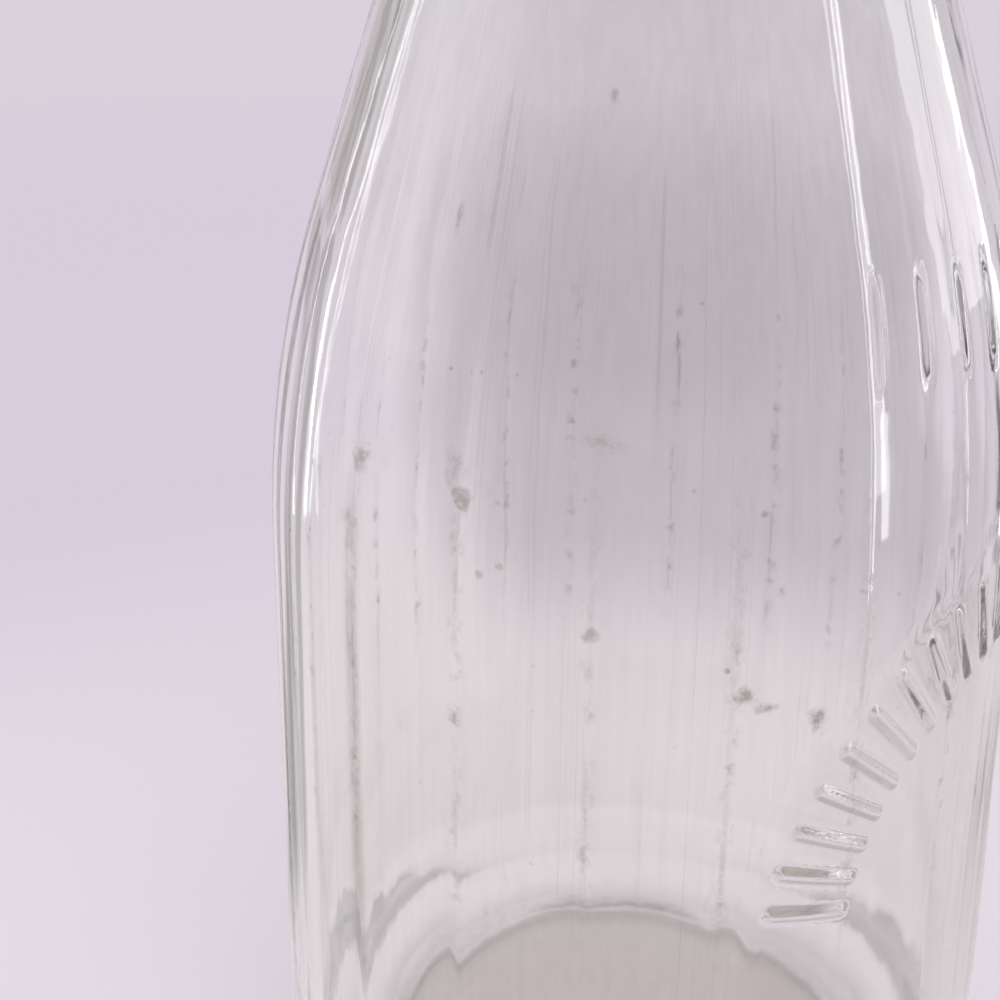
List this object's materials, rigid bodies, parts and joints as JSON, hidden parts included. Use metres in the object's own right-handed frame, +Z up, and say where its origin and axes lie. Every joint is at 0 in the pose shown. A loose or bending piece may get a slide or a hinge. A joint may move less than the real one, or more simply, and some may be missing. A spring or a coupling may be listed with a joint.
{
  "type": "milk bottle",
  "caption": "Clear glass milk bottle with a soft-fluted body, a sloping shoulder and a cap-seat mouth, closed by a stapled board cap with a lift tab.",
  "frame": {"origin": "middle of the base, on the surface that the bottle stands on", "axes": "+Z up through the mouth, +X towards the round plain panel of the glass"},
  "size_m": [0.08, 0.08, 0.188],
  "materials": {
    "clear_glass": "clear, scuffed by years of refilling",
    "waxed_board": "waxed pulp board, satin",
    "staple_wire": "drawn wire"
  },
  "bodies": {
    "bottle": {"glass_bottle": "clear_glass"},
    "cap": {"sealing_ply": "waxed_board", "top_ply": "waxed_board", "tab_staple": "staple_wire"},
    "tab": {"pull_tab": "waxed_board"}
  },
  "joints": [
    {"name": "cap_lift", "type": "slide", "parent": "bottle", "child": "cap", "axis": [0, 0, 1], "range_m": [0, 0.04]},
    {"name": "tab_fold", "type": "hinge", "parent": "cap", "child": "tab", "pos_m": [0.0085, 0, 0.1838], "axis": [0, 1, 0], "range_deg": [0, 110]}
  ]
}
